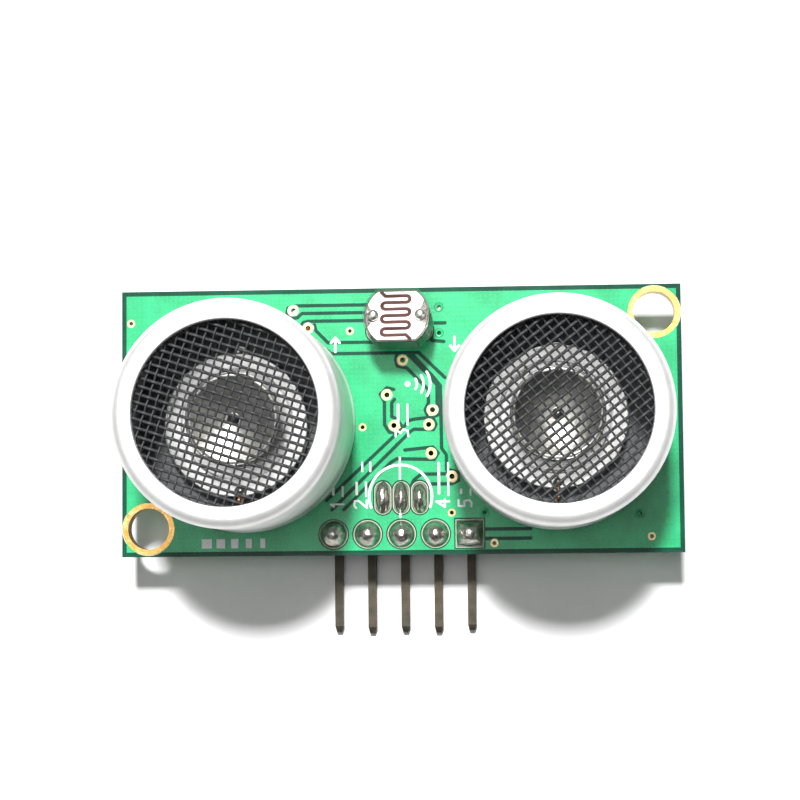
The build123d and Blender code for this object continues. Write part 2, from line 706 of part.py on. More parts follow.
REAR_PAD_FACE = CORE_BOTTOM - PAD_T
LIGHT_LEAD_END = REAR_FACE - 0.9
with BuildPart() as rear_solder:
    for x in (-CAN_X, CAN_X):
        for y in (-TERMINAL_Y, TERMINAL_Y):
            solder_cone(x, y, REAR_PAD_FACE, 1.08, 1.1, -1)
    for x in (-LIGHT_LEAD_X, LIGHT_LEAD_X):
        solder_cone(x, LIGHT_HOLE_Y, REAR_PAD_FACE, 0.73, 0.8, -1)
    with BuildSketch(Plane.XY.offset(REAR_PAD_FACE)):
        with Locations(*[(x, y) for x in (-CAN_X, CAN_X) for y in (-TERMINAL_Y, TERMINAL_Y)]):
            Circle(TERMINAL_R)
        with Locations(*[(x, LIGHT_HOLE_Y) for x in (-LIGHT_LEAD_X, LIGHT_LEAD_X)]):
            Circle(LIGHT_WIRE_R)
    extrude(amount=-2.0, mode=Mode.SUBTRACT)
finish(rear_solder, "rear_solder")

with BuildPart() as temperature_sensor_solder:
    with BuildSketch(Plane.XY.offset(PAD_TOP)):
        for x in TEMP_X:
            with Locations((x, TEMP_Y)):
                SlotOverall(2.25, 1.05, rotation=90)
    extrude(amount=0.36, taper=35)
    with BuildSketch(Plane.XY.offset(PAD_TOP)):
        with Locations(*[(x, TEMP_Y) for x in TEMP_X]):
            Rectangle(TEMP_LEAD_W, TEMP_LEAD_W)
    extrude(amount=TEMP_FRONT_END - PAD_TOP, mode=Mode.SUBTRACT)
finish(temperature_sensor_solder, "temperature_sensor_solder")

# ==== Temperature sensor, three legs, lying under the board ====
with BuildPart() as temperature_sensor_body:
    with BuildSketch(Plane.XZ.offset(-TEMP_BODY_START)):
        with Locations((0, TEMP_MID)):
            Circle(TEMP_BODY_R)
        with Locations((0, TEMP_MID + TEMP_FLAT + TEMP_BODY_R / 2)):
            Rectangle(2 * TEMP_BODY_R, TEMP_BODY_R, mode=Mode.SUBTRACT)
    extrude(amount=-TEMP_BODY_L)
    chamfer(temperature_sensor_body.faces().sort_by(Axis.Y)[-1].edges(), 0.18)
finish(temperature_sensor_body, "temperature_sensor_body")

with BuildPart() as temperature_sensor_leads:
    leg = TEMP_LEAD_W / 2
    for leg_x in TEMP_X:
        with BuildSketch(Plane.YZ.offset(leg_x)):
            with BuildLine():
                Line((TEMP_Y - leg, TEMP_FRONT_END), (TEMP_Y - leg, TEMP_MID + TEMP_BEND_R))
                RadiusArc(
                    (TEMP_Y - leg, TEMP_MID + TEMP_BEND_R),
                    (TEMP_Y + TEMP_BEND_R, TEMP_MID - leg),
                    -(TEMP_BEND_R + leg),
                )
                Line((TEMP_Y + TEMP_BEND_R, TEMP_MID - leg), (TEMP_BODY_START, TEMP_MID - leg))
                Line((TEMP_BODY_START, TEMP_MID - leg), (TEMP_BODY_START, TEMP_MID + leg))
                Line((TEMP_BODY_START, TEMP_MID + leg), (TEMP_Y + TEMP_BEND_R, TEMP_MID + leg))
                RadiusArc(
                    (TEMP_Y + TEMP_BEND_R, TEMP_MID + leg),
                    (TEMP_Y + leg, TEMP_MID + TEMP_BEND_R),
                    TEMP_BEND_R - leg,
                )
                Line((TEMP_Y + leg, TEMP_MID + TEMP_BEND_R), (TEMP_Y + leg, TEMP_FRONT_END))
                Line((TEMP_Y + leg, TEMP_FRONT_END), (TEMP_Y - leg, TEMP_FRONT_END))
            make_face()
        extrude(amount=leg, both=True)
finish(temperature_sensor_leads, "temperature_sensor_leads")

# ==== Light-dependent resistor, leaning a little towards +Y ====
TILT = math.radians(LIGHT_TILT)
LEAN = math.radians(LIGHT_LEAN)
LIGHT_NORMAL = (-math.sin(LEAN), math.sin(TILT), math.cos(TILT) * math.cos(LEAN))
LIGHT_ALONG = (math.cos(LEAN), 0, math.sin(LEAN) / (math.cos(TILT)))
LIGHT_PLANE = Plane(origin=(0, LIGHT_Y, LIGHT_FACE_Z), x_dir=LIGHT_ALONG, z_dir=LIGHT_NORMAL)


def light_outline(grow):
    """Round body with two flats, in the sketch being built."""
    Circle(LIGHT_R + grow)
    Rectangle(3 * LIGHT_R, 2 * (LIGHT_FLAT + grow), mode=Mode.INTERSECT)


def light_holes(radius):
    """Holes for the two wires, cut from the sketch being built."""
    with Locations((-LIGHT_LEAD_X, 0), (LIGHT_LEAD_X, 0)):
        Circle(radius, mode=Mode.SUBTRACT)


def track_points():
    """The serpentine's points, from the upper flat to the lower one, with half-round turns."""
    turn_r = TRACK_PITCH / 2
    points = [(TRACK_RUN_X[0] - 0.3, LIGHT_FLAT - 0.15)]
    for row in range(TRACK_ROWS):
        y = (TRACK_ROWS - 1) / 2 * TRACK_PITCH - row * TRACK_PITCH
        rightward = row % 2 == 0
        ends = TRACK_RUN_X if rightward else TRACK_RUN_X[::-1]
        points += [(ends[0], y), (ends[1], y)]
        if row < TRACK_ROWS - 1:
            swing = 1 if rightward else -1
            turn = arc_points(0, 0, turn_r, -60, 60, 30)
            points += [(ends[1] + swing * dx, y - turn_r - dy) for dx, dy in turn]
    return points + [(TRACK_RUN_X[1] + 0.3, 0.15 - LIGHT_FLAT)]


with BuildPart() as light_sensor_ceramic:
    with BuildSketch(LIGHT_PLANE.offset(-LIGHT_T)):
        light_outline(0)
        light_holes(LIGHT_WIRE_R)
    extrude(amount=LIGHT_T)
finish(light_sensor_ceramic, "light_sensor_ceramic")

with BuildPart() as light_sensor_track:
    with BuildSketch(LIGHT_PLANE):
        strokes([track_points()], TRACK_W)
    extrude(amount=LIGHT_FILM)
finish(light_sensor_track, "light_sensor_track")

with BuildPart() as light_sensor_electrodes:
    with BuildSketch(LIGHT_PLANE):
        light_outline(-0.12)
        light_holes(LIGHT_WIRE_R)
    extrude(amount=LIGHT_FILM)
    add(light_sensor_track.part, mode=Mode.SUBTRACT)
finish(light_sensor_electrodes, "light_sensor_electrodes")

with BuildPart() as light_sensor_coat:
    with BuildSketch(LIGHT_PLANE.offset(-LIGHT_T + 0.25)):
        light_outline(LIGHT_COAT)
        light_holes(LIGHT_WIRE_R)
    extrude(amount=LIGHT_T - 0.25 + LIGHT_FILM + LIGHT_COAT)
    fillet(light_sensor_coat.faces().sort_by(Axis.Z)[-1].outer_wire().edges(), 0.1)
    add(light_sensor_ceramic.part, mode=Mode.SUBTRACT)
    add(light_sensor_track.part, mode=Mode.SUBTRACT)
    add(light_sensor_electrodes.part, mode=Mode.SUBTRACT)
finish(light_sensor_coat, "light_sensor_coat")

LEAD_HEAD = LIGHT_FILM + LIGHT_COAT
with BuildPart() as light_sensor_leads:
    for lead_x in (-LIGHT_LEAD_X, LIGHT_LEAD_X):
        top = LIGHT_PLANE.from_local_coords((lead_x, 0, LEAD_HEAD))
        knee = LIGHT_PLANE.from_local_coords((lead_x, 0, -LIGHT_T - 0.6))
        with BuildLine():
            FilletPolyline(
                top, knee, (lead_x, LIGHT_HOLE_Y, 0.4), (lead_x, LIGHT_HOLE_Y, LIGHT_LEAD_END), radius=0.4
            )
        with BuildSketch(LIGHT_PLANE.offset(LEAD_HEAD)):
            with Locations((lead_x, 0)):
                Circle(LIGHT_WIRE_R)
        sweep()
    with BuildSketch(LIGHT_PLANE.offset(LEAD_HEAD)):
        with Locations((-LIGHT_LEAD_X, 0), (LIGHT_LEAD_X, 0)):
            Circle(0.42)
    extrude(amount=0.12)
finish(light_sensor_leads, "light_sensor_leads")


# ==== Chips under the board ====
def chip_body(chip):
    """Moulded chip body with a straight band at the leads and drafted halves."""
    x, y, per_side = chip
    length = per_side * CHIP_PITCH - 0.2
    half_t = CHIP_T / 2 - LEAD_T / 2
    with BuildSketch(Plane.XY.offset(CHIP_MID - LEAD_T / 2)) as band:
        with Locations((x, y)):
            Rectangle(length, CHIP_W)
    extrude(band.sketch, amount=LEAD_T)
    for offset, amount in ((LEAD_T / 2, half_t), (-LEAD_T / 2, -half_t)):
        with BuildSketch(Plane.XY.offset(CHIP_MID + offset)) as half:
            with Locations((x, y)):
                Rectangle(length, CHIP_W)
        extrude(half.sketch, amount=amount, taper=8)
    with Locations((x - length / 2 + 0.75, y + CHIP_W / 2 - 0.85, CHIP_MID - CHIP_T / 2)):
        Cylinder(0.3, 0.12, mode=Mode.SUBTRACT)


def gull_lead(x, y, side, body_half, span_half, middle, width, thick):
    """One bent lead from a chip's side to its land."""
    foot_z = REAR_COPPER_FACE
    knee = body_half + 0.3 * (span_half - body_half)
    heel = span_half - FOOT_L
    profile = [
        (body_half, middle + thick / 2),
        (knee + 0.06, middle + thick / 2),
        (heel + 0.04, foot_z),
        (span_half, foot_z),
        (span_half, foot_z - thick),
        (heel + 0.14, foot_z - thick),
        (knee + 0.16, middle - thick / 2),
        (body_half, middle - thick / 2),
    ]
    with BuildSketch(Plane.YZ.offset(x)) as outline:
        with BuildLine():
            Polyline(*[(y + side * distance, z) for distance, z in profile], close=True)
        make_face()
    extrude(outline.sketch, amount=width / 2, both=True)


for name, chip in (("controller", CONTROLLER), ("driver", DRIVER), ("amplifier", AMPLIFIER)):
    with BuildPart() as body:
        chip_body(chip)
    finish(body, f"{name}_body")
    with BuildPart() as leads:
        for lead_x in chip_lead_x(chip):
            for side in (-1, 1):
                gull_lead(lead_x, chip[1], side, CHIP_W / 2, CHIP_SPAN / 2, CHIP_MID, LEAD_W, LEAD_T)
    finish(leads, f"{name}_leads")

TRANSISTOR_T = 0.95
TRANSISTOR_HALF_W = 0.65
TRANSISTOR_LEAD_T = 0.12
TRANSISTOR_MID = REAR_COPPER_FACE - 0.1 - TRANSISTOR_T / 2
with BuildPart() as transistor_bodies:
    for x, y in TRANSISTORS:
        with BuildSketch(Plane.XY.offset(TRANSISTOR_MID - TRANSISTOR_LEAD_T / 2)):
            with Locations((x, y)):
                Rectangle(2.9, 2 * TRANSISTOR_HALF_W)
        extrude(amount=TRANSISTOR_LEAD_T)
        for end in (-1, 1):
            with BuildSketch(Plane.XY.offset(TRANSISTOR_MID + end * TRANSISTOR_LEAD_T / 2)):
                with Locations((x, y)):
                    Rectangle(2.9, 2 * TRANSISTOR_HALF_W)
            extrude(amount=end * (TRANSISTOR_T - TRANSISTOR_LEAD_T) / 2, taper=8)
finish(transistor_bodies, "transistor_bodies")

with BuildPart() as transistor_leads:
    for x, y in TRANSISTORS:
        for lead_x, side in TRANSISTOR_LEADS:
            gull_lead(x + lead_x, y, side, TRANSISTOR_HALF_W, 1.35, TRANSISTOR_MID, 0.4, TRANSISTOR_LEAD_T)
finish(transistor_leads, "transistor_leads")

with BuildPart() as crystal:
    with BuildSketch(Plane.XY.offset(REAR_COPPER_FACE)):
        with Locations(CRYSTAL):
            RectangleRounded(CRYSTAL_X, CRYSTAL_Y, 0.3)
    extrude(amount=-0.5)
    with BuildSketch(Plane.XY.offset(REAR_COPPER_FACE - 0.5)):
        with Locations(CRYSTAL):
            RectangleRounded(CRYSTAL_X - 0.5, CRYSTAL_Y - 0.5, 0.4)
    extrude(amount=0.5 - CRYSTAL_T)
    fillet(crystal.faces().sort_by(Axis.Z)[0].edges(), 0.12)
finish(crystal, "crystal")

for name, places, thick in (("resistor", RESISTORS, RESISTOR_T), ("capacitor", CAPACITORS, CAPACITOR_T)):
    spots = [
        Location((x, y, REAR_COPPER_FACE - END_CAP_T - thick / 2), (0, 0, turn)) for x, y, turn in places
    ]
    with BuildPart() as small_bodies:
        with Locations(*spots):
            Box(SMALL_L - 2 * END_CAP_T, SMALL_W, thick)
    finish(small_bodies, f"{name}_bodies")
    with BuildPart() as small_ends:
        with Locations(*spots):
            with Locations((-SMALL_LAND_X, 0, 0), (SMALL_LAND_X, 0, 0)):
                Box(END_CAP_L, SMALL_W + 2 * END_CAP_T, thick + 2 * END_CAP_T)
        add(small_bodies.part, mode=Mode.SUBTRACT)
    finish(small_ends, f"{name}_ends")
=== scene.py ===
import math

import bmesh
import bpy
from mathutils import Matrix, Vector, noise


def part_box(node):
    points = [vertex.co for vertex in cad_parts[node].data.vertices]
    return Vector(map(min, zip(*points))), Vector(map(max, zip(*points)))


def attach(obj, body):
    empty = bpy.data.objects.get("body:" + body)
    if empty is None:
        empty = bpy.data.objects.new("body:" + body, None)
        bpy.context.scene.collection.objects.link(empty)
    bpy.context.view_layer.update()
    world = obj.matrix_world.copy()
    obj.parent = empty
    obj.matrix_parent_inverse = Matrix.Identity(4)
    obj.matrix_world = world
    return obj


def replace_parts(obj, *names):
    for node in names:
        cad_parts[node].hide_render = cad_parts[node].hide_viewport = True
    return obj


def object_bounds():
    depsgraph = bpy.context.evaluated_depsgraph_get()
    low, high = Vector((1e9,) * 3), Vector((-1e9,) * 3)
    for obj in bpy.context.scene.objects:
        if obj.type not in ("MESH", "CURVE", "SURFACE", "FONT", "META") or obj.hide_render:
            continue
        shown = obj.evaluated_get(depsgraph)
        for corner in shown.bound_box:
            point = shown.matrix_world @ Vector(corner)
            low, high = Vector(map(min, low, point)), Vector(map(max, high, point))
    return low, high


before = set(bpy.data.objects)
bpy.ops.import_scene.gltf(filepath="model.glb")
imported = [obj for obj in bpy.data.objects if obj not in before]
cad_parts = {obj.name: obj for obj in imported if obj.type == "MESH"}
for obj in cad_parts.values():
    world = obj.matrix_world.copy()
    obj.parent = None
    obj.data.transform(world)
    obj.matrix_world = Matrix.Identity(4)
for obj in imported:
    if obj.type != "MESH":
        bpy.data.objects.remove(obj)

MM = 0.001
CAD_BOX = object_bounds()
SIDES = ("transmitter", "receiver")
WOBBLE_SPREAD = 1.3
scene = bpy.context.scene


def low_mm(node):
    """Lowest corner of a node's box, in millimetres."""
    return [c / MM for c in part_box(node)[0]]


def high_mm(node):
    """Highest corner of a node's box, in millimetres."""
    return [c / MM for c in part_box(node)[1]]


def centre_mm(node):
    """Middle of a node's box, in millimetres."""
    return [(a + b) / 2 for a, b in zip(low_mm(node), high_mm(node))]


# ---- Camera: above the board, a little towards +X and the header ----
CAMERA_AT = (8.85, -9.95, 163.13)
CAMERA_RIGHT = Vector((0.99844, -0.00941, -0.05499))
CAMERA_UP = Vector((0.01324, 0.99749, 0.06963))
CAMERA_LENS = 98.5
SENSOR_WIDTH = 36

camera_data = bpy.data.cameras.new("camera")
camera_data.lens = CAMERA_LENS
camera_data.sensor_width = SENSOR_WIDTH
camera_data.clip_start = 0.005
camera_data.clip_end = 10
camera = bpy.data.objects.new("camera", camera_data)
scene.collection.objects.link(camera)
turn = Matrix((CAMERA_RIGHT, CAMERA_UP, CAMERA_RIGHT.cross(CAMERA_UP))).transposed().to_4x4()
camera.matrix_world = Matrix.Translation(Vector(CAMERA_AT) * MM) @ turn
scene.camera = camera


# ---- Mesh helpers ----
def add_piece(name, verts, faces, material, slot):
    """A new piece from points in millimetres, riding on the one body."""
    mesh = bpy.data.meshes.new(name)
    mesh.from_pydata([[c * MM for c in v] for v in verts], [], faces)
    mesh.validate()
    mesh.shade_smooth()
    obj = bpy.data.objects.new(name, mesh)
    scene.collection.objects.link(obj)
    mesh.materials.append(material)
    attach(obj, "root")
    return obj


def lathe(profile, centre, count=128, wobble=0.0, seed=0.0, squash=(1.0, 1.0)):
    """A closed turned shape. The profile is (radius, z) from axis to axis, outside in order."""
    x, y = centre
    verts, faces = [], []
    inner = profile[1:-1]
    for step in range(count):
        angle = 2 * math.pi * step / count
        for radius, z in inner:
            push = 0.0
            if wobble:
                spread_x, spread_y = math.cos(angle) * WOBBLE_SPREAD, math.sin(angle) * WOBBLE_SPREAD
                push = wobble * noise.noise(Vector((spread_x, spread_y, z + seed)))
            r = radius * (1 + push)
            verts.append((x + squash[0] * r * math.cos(angle), y + squash[1] * r * math.sin(angle), z))
    rings = len(inner)
    first, last = len(verts), len(verts) + 1
    verts += [(x, y, profile[0][1]), (x, y, profile[-1][1])]
    for step in range(count):
        a, b = step * rings, (step + 1) % count * rings
        faces.append((first, b, a))
        faces.append((last, a + rings - 1, b + rings - 1))
        for k in range(rings - 1):
            faces.append((a + k, b + k, b + k + 1, a + k + 1))
    return verts, faces


def ring_lathe(profile, centre, count=192):
    """A closed turned ring. The profile is a closed loop of (radius, z)."""
    x, y = centre
    verts, faces = [], []
    rings = len(profile)
    for step in range(count):
        angle = 2 * math.pi * step / count
        verts += [(x + r * math.cos(angle), y + r * math.sin(angle), z) for r, z in profile]
    for step in range(count):
        a, b = step * rings, (step + 1) % count * rings
        for k in range(rings):
            n = (k + 1) % rings
            faces.append((a + k, b + k, b + n, a + n))
    return verts, faces


def corner(centre, radius, first, last, steps=7):
    """Points round one corner of a profile, between two angles in degrees."""
    points = []
    for k in range(steps + 1):
        angle = math.radians(first + (last - first) * k / steps)
        points.append((centre[0] + radius * math.cos(angle), centre[1] + radius * math.sin(angle)))
    return points


def joined(parts):
    """Several (verts, faces) as one."""
    verts, faces = [], []
    for part_verts, part_faces in parts:
        base = len(verts)
        verts += part_verts
        faces += [tuple(base + i for i in face) for face in part_faces]
    return verts, faces


def fix_normals(obj):
    """Turn every face outward."""
    bm = bmesh.new()
    bm.from_mesh(obj.data)
    bmesh.ops.recalc_face_normals(bm, faces=bm.faces)
    bm.to_mesh(obj.data)
    bm.free()
    return obj


def welded(node):
    """A node's mesh as a bmesh with its shared points merged."""
    bm = bmesh.new()
    bm.from_mesh(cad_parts[node].data)
    bmesh.ops.remove_doubles(bm, verts=bm.verts, dist=1e-7)
    return bm


def loose_groups(bm):
    """The points of each loose solid of a bmesh."""
    left, groups = set(bm.verts), []
    while left:
        edge = [left.pop()]
        group = []
        while edge:
            vert = edge.pop()
            group.append(vert)
            for link in vert.link_edges:
                other = link.other_vert(vert)
                if other in left:
                    left.remove(other)
                    edge.append(other)
        groups.append(group)
    return groups


def corners_of(group):
    """Lowest and highest corner of a group of points, in millimetres."""
    points = [vert.co / MM for vert in group]
    return tuple([pick(p[k] for p in points) for k in range(3)] for pick in (min, max))


def islands(node):
    """Each loose solid of a node's mesh as its lowest and highest corner, in millimetres."""
    bm = welded(node)
    boxes = [corners_of(group) for group in loose_groups(bm)]
    bm.free()
    return sorted(boxes)


# ---- Material helpers ----
class Paint:
    """A node material on the Principled shader, with patterns in millimetres of the part's frame."""

    def __init__(self, name, rough, metal=0.0, **sockets):
        self.material = bpy.data.materials.new(name)
        self.material.use_nodes = True
        self.tree = self.material.node_tree
        self.shader = self.tree.nodes["Principled BSDF"]
        self.shader.inputs["Roughness"].default_value = rough
        self.shader.inputs["Metallic"].default_value = metal
        for socket, value in sockets.items():
            self.shader.inputs[socket.replace("_", " ")].default_value = value
        self.height = None
        place = self.node("ShaderNodeTexCoord")
        self.coords = self.mapped(place.outputs["Object"], scale=(1000, 1000, 1000))

    def node(self, kind, **props):
        made = self.tree.nodes.new(kind)
        for key, value in props.items():
            setattr(made, key, value)
        return made

    def link(self, source, target):
        self.tree.links.new(source, target)

    def mapped(self, source, scale=(1, 1, 1), shift=(0, 0, 0)):
        made = self.node("ShaderNodeMapping")
        made.inputs["Scale"].default_value = scale
        made.inputs["Location"].default_value = shift
        self.link(source, made.inputs["Vector"])
        return made.outputs["Vector"]

    def noise(self, scale, detail=4.0, rough=0.55, coords=None):
        made = self.node("ShaderNodeTexNoise")
        made.inputs["Scale"].default_value = scale
        made.inputs["Detail"].default_value = detail
        made.inputs["Roughness"].default_value = rough
        self.link(coords or self.coords, made.inputs["Vector"])
        return made.outputs["Fac"]

    def cells(self, scale):
        made = self.node("ShaderNodeTexVoronoi")
        made.inputs["Scale"].default_value = scale
        self.link(self.coords, made.inputs["Vector"])
        return made.outputs["Distance"]

    def waves(self, scale, distort=0.0, kind="BANDS", direction="X", coords=None):
        made = self.node("ShaderNodeTexWave", wave_type=kind)
        if kind == "BANDS":
            made.bands_direction = direction
        else:
            made.rings_direction = direction
        made.inputs["Scale"].default_value = scale
        made.inputs["Distortion"].default_value = distort
        made.inputs["Detail"].default_value = 2
        made.inputs["Detail Scale"].default_value = 1.5
        self.link(coords or self.coords, made.inputs["Vector"])
        return made.outputs["Fac"]

    def ramp(self, source, stops):
        made = self.node("ShaderNodeValToRGB")
        made.color_ramp.interpolation = "EASE"
        items = made.color_ramp.elements
        items[0].position, items[0].color = stops[0][0], (*stops[0][1], 1)
        items[1].position, items[1].color = stops[-1][0], (*stops[-1][1], 1)
        for position, colour in stops[1:-1]:
            items.new(position).color = (*colour, 1)
        self.link(source, made.inputs["Fac"])
        return made.outputs["Color"]

    def scaled(self, source, low, high):
        made = self.node("ShaderNodeMapRange")
        made.inputs["To Min"].default_value = low
        made.inputs["To Max"].default_value = high
        self.link(source, made.inputs["Value"])
        return made.outputs["Result"]

    def mix(self, factor, first, second):
        made = self.node("ShaderNodeMix", data_type="RGBA")
        for socket, value in ((made.inputs[0], factor), (made.inputs[6], first), (made.inputs[7], second)):
            if isinstance(value, (int, float)):
                socket.default_value = value
            elif isinstance(value, tuple):
                socket.default_value = (*value, 1)
            else:
                self.link(value, socket)
        return made.outputs[2]

    def math(self, operation, first, second=0.0):
        made = self.node("ShaderNodeMath", operation=operation)
        for socket, value in zip(made.inputs, (first, second)):
            if isinstance(value, (int, float)):
                socket.default_value = value
            else:
                self.link(value, socket)
        return made.outputs["Value"]

    def axis(self, name):
        made = self.node("ShaderNodeSeparateXYZ")
        self.link(self.coords, made.inputs["Vector"])
        return made.outputs[name]

    def colour(self, source):
        self.link(source, self.shader.inputs["Base Color"])

    def rough(self, source, low, high):
        self.link(self.scaled(source, low, high), self.shader.inputs["Roughness"])

    def bump(self, source, depth_mm):
        made = self.node("ShaderNodeBump")
        made.inputs["Strength"].default_value = 1.0
        made.inputs["Distance"].default_value = depth_mm * MM
        self.link(source, made.inputs["Height"])
        if self.height:
            self.link(self.height, made.inputs["Normal"])
        self.height = made.outputs["Normal"]
        self.link(self.height, self.shader.inputs["Normal"])


def metal(name, dark, light, rough, grain=2.0, depth=0.002, metallic=1.0):
    """Bare or plated metal: cloudy tone, a fine grain and an uneven polish."""
    paint = Paint(name, rough, metallic)
    cloud = paint.noise(grain, 5)
    fine = paint.noise(grain * 9, 3)
    broad = paint.ramp(cloud, [(0.3, dark), (0.7, light)])
    grainy = paint.ramp(fine, [(0.35, dark), (0.65, light)])
    paint.colour(paint.mix(0.3, broad, grainy))
    paint.rough(cloud, rough * 0.75, rough * 1.35)
    paint.bump(fine, depth)
    return paint.material


def plastic(name, dark, light, rough, grain=3.0, depth=0.006):
    """Moulded plastic: faint mottling and a fine moulded grain."""
    paint = Paint(name, rough)
    cloud = paint.noise(grain * 0.25, 3)
    fine = paint.noise(grain * 4, 6, 0.7)
    stops = [(0.3, dark), (0.7, light)]
    paint.colour(paint.mix(0.5, paint.ramp(cloud, stops), paint.ramp(fine, stops)))
    paint.rough(fine, rough * 0.85, rough * 1.15)
    paint.bump(fine, depth)
    return paint.material


def solder_mask(name, shade, tone, weave, shine):
    """Green lacquer over copper or bare laminate, with glass cloth just showing through."""
    paint = Paint(name, 0.28, Specular_IOR_Level=shine)
    cloud = paint.noise(0.35, 4)
    base = paint.ramp(cloud, [(0.25, shade), (0.75, tone)])
    warp, weft = (paint.waves(0.9, 1.5, direction=axis) for axis in "XY")
    cloth = paint.math("MULTIPLY", warp, weft)
    light_tone = tuple(min(1, c * 1.2) for c in tone)
    woven = paint.mix(paint.scaled(cloth, 0, weave), base, light_tone)
    dust = paint.ramp(paint.cells(2.2), [(0.0, (1, 1, 1)), (0.035, (0, 0, 0))])
    paint.colour(paint.mix(paint.math("MULTIPLY", dust, 0.25), woven, (0.4, 0.8, 0.5)))
    paint.rough(paint.noise(6, 4), 0.2, 0.34)
    paint.bump(paint.noise(1.6, 3), 0.01)
    paint.bump(cloth, 0.003)
    return paint.material


def turned_metal(name, dark, light, rough, centre, pitch, depth, metallic=1.0):
    """Spun metal: fine rings round an axis, with cloudy wear."""
    paint = Paint(name, rough, metallic)
    rings_at = paint.mapped(paint.coords, shift=(-centre[0], -centre[1], 0))
    rings = paint.waves(pitch, 0.3, kind="RINGS", direction="Z", coords=rings_at)
    cloud = paint.noise(0.9, 5)
    tone = paint.ramp(cloud, [(0.3, dark), (0.7, light)])
    paint.colour(paint.mix(paint.scaled(rings, 0, 0.35), tone, light))
    paint.rough(cloud, rough * 0.8, rough * 1.3)
    paint.bump(rings, depth)
    return paint.material


def solder():
    """Hand-made joints: silvery, dimpled, with a yellowish flux tint in the hollows."""
    paint = Paint("solder", 0.3, 1.0)
    lumps = paint.noise(1.7, 3)
    fine = paint.noise(9, 4)
    tone = [(0.3, (0.4, 0.36, 0.27)), (0.5, (0.55, 0.53, 0.48)), (0.75, (0.8, 0.79, 0.75))]
    paint.colour(paint.ramp(lumps, tone))
    paint.rough(fine, 0.2, 0.42)
    paint.bump(lumps, 0.14)
    paint.bump(fine, 0.01)
    return paint.material


def gold():
    """Thin gold over copper: yellow with brown patches and an uneven polish."""
    paint = Paint("gold_plate", 0.28, 1.0)
    cloud = paint.noise(2.2, 5)
    tone = [(0.25, (0.34, 0.17, 0.04)), (0.5, (0.52, 0.3, 0.09)), (0.8, (0.8, 0.58, 0.27))]
    paint.colour(paint.ramp(cloud, tone))
    paint.rough(paint.noise(5, 4), 0.18, 0.42)
    paint.bump(paint.noise(9, 4), 0.008)
    return paint.material


def laminate():
    """Glass-epoxy core: pale resin with the cloth's layers on its edges."""
    paint = Paint("laminate", 0.5)
    layers = paint.waves(2.6, 1.5, direction="Z")
    threads = paint.noise(1.0, 5, coords=paint.mapped(paint.coords, scale=(3.5, 3.5, 14)))
    tone = paint.ramp(layers, [(0.2, (0.42, 0.5, 0.3)), (0.8, (0.66, 0.7, 0.5))])
    paint.colour(paint.mix(paint.scaled(threads, 0, 0.55), tone, (0.28, 0.42, 0.26)))
    paint.bump(threads, 0.03)
    paint.bump(layers, 0.012)
    return paint.material


def ink():
    """Printed white ink: a little thin in places."""
    paint = Paint("legend_ink", 0.55)
    wear = paint.noise(6, 5, 0.65)
    paint.colour(paint.ramp(wear, [(0.28, (0.62, 0.74, 0.66)), (0.42, (0.9, 0.92, 0.9))]))
    paint.bump(wear, 0.01)
    return paint.material


def can_outside():
    """Drawn aluminium: satin, with faint drawing lines up the wall and soft stains."""
    paint = Paint("can_outside", 0.42, 0.55)
    drawn = paint.noise(1.0, 4, coords=paint.mapped(paint.coords, scale=(7, 7, 0.35)))
    cloud = paint.noise(0.45, 5)
    tone = paint.ramp(cloud, [(0.25, (0.78, 0.78, 0.77)), (0.75, (0.93, 0.93, 0.92))])
    paint.colour(paint.mix(paint.scaled(drawn, 0, 0.25), tone, (0.7, 0.7, 0.69)))
    paint.rough(paint.noise(3, 5), 0.34, 0.52)
    paint.bump(drawn, 0.012)
    paint.bump(paint.noise(14, 3), 0.003)
    return paint.material


def wire_metal():
    """Dark screen wire with lighter rubbed patches."""
    paint = Paint("screen_wire", 0.5, 0.1)
    wear = paint.noise(5, 5)
    tone = [(0.3, (0.045, 0.048, 0.05)), (0.62, (0.06, 0.063, 0.066)), (0.8, (0.11, 0.115, 0.118))]
    paint.colour(paint.ramp(wear, tone))
    paint.rough(wear, 0.6, 0.42)
    paint.bump(paint.noise(18, 2), 0.004)
    return paint.material


def cell_track():
    """Sintered light-sensitive track: red-brown and grainy."""
    paint = Paint("cell_track", 0.6)
    grain = paint.noise(9, 6, 0.75)
    tone = [(0.3, (0.05, 0.01, 0.008)), (0.55, (0.1, 0.02, 0.016)), (0.8, (0.17, 0.05, 0.04))]
    paint.colour(paint.ramp(grain, tone))
    paint.bump(grain, 0.02)
    return paint.material


def cell_electrode():
    """Evaporated metal on ceramic: creamy silver with a fine matt grain."""
    paint = Paint("cell_electrode", 0.4, 0.35)
    grain = paint.noise(12, 5, 0.7)
    cloud = paint.noise(0.8, 4)
    tone = paint.ramp(cloud, [(0.3, (0.78, 0.72, 0.63)), (0.7, (0.94, 0.91, 0.86))])
    paint.colour(paint.mix(paint.scaled(grain, 0, 0.3), tone, (0.7, 0.66, 0.6)))
    paint.rough(grain, 0.32, 0.5)
    paint.bump(grain, 0.006)
    return paint.material


def clear_resin():
    """Clear coat over the cell, with a little haze."""
    paint = Paint("clear_resin", 0.08, Transmission_Weight=1.0, IOR=1.45, Alpha=0.22)
    haze = paint.noise(1.5, 4)
    paint.colour(paint.ramp(haze, [(0.3, (0.9, 0.9, 0.86)), (0.7, (0.98, 0.98, 0.96))]))
    paint.rough(haze, 0.04, 0.14)
    paint.bump(paint.noise(2.5, 3), 0.01)
    return paint.material


